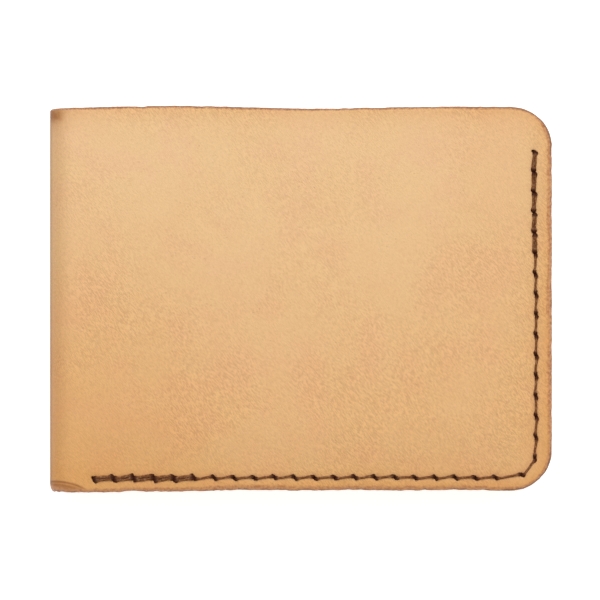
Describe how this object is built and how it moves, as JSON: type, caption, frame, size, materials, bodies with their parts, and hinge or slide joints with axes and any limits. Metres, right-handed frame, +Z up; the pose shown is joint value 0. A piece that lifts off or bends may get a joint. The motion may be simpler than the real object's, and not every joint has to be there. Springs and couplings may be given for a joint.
{
  "type": "bifold wallet",
  "caption": "Closed bifold wallet in plain leather with a hand-sewn edge, a bank-note compartment and card pockets; it opens flat at a folding spine.",
  "frame": {"origin": "on the surface the closed wallet lies on, under the middle of its outline", "axes": "+X from the fold to the free side, +Y from the stitched bottom edge to the open edge, +Z up from the back cover to the front cover"},
  "size_m": [0.115, 0.088, 0.0134],
  "materials": {
    "shell_leather": "satin",
    "lining_leather": "satin",
    "pocket_leather": "satin",
    "waxed_thread": "satin"
  },
  "bodies": {
    "back_half": {"back_cover": "shell_leather", "back_lining": "lining_leather", "back_tee_pocket": "pocket_leather", "back_lower_pocket": "pocket_leather", "back_edge_thread": "waxed_thread", "back_pocket_thread": "waxed_thread", "back_tack_thread": "waxed_thread"},
    "spine_strip": {"spine": "shell_leather"},
    "front_half": {"front_cover": "shell_leather", "front_lining": "lining_leather", "front_tee_pocket": "pocket_leather", "front_lower_pocket": "pocket_leather", "front_edge_thread": "waxed_thread", "front_pocket_thread": "waxed_thread", "front_tack_thread": "waxed_thread"}
  },
  "joints": [
    {"name": "back_bend", "type": "hinge", "parent": "back_half", "child": "spine_strip", "pos_m": [-0.05618, 0, 0.00132], "axis": [0, -1, 0], "range_deg": [0, 90]},
    {"name": "front_bend", "type": "hinge", "parent": "spine_strip", "child": "front_half", "pos_m": [-0.05618, 0, 0.01208], "axis": [0, -1, 0], "range_deg": [0, 90]}
  ],
  "couplings": [
    {"joint": "front_bend", "follows": "back_bend", "ratio": 1}
  ]
}
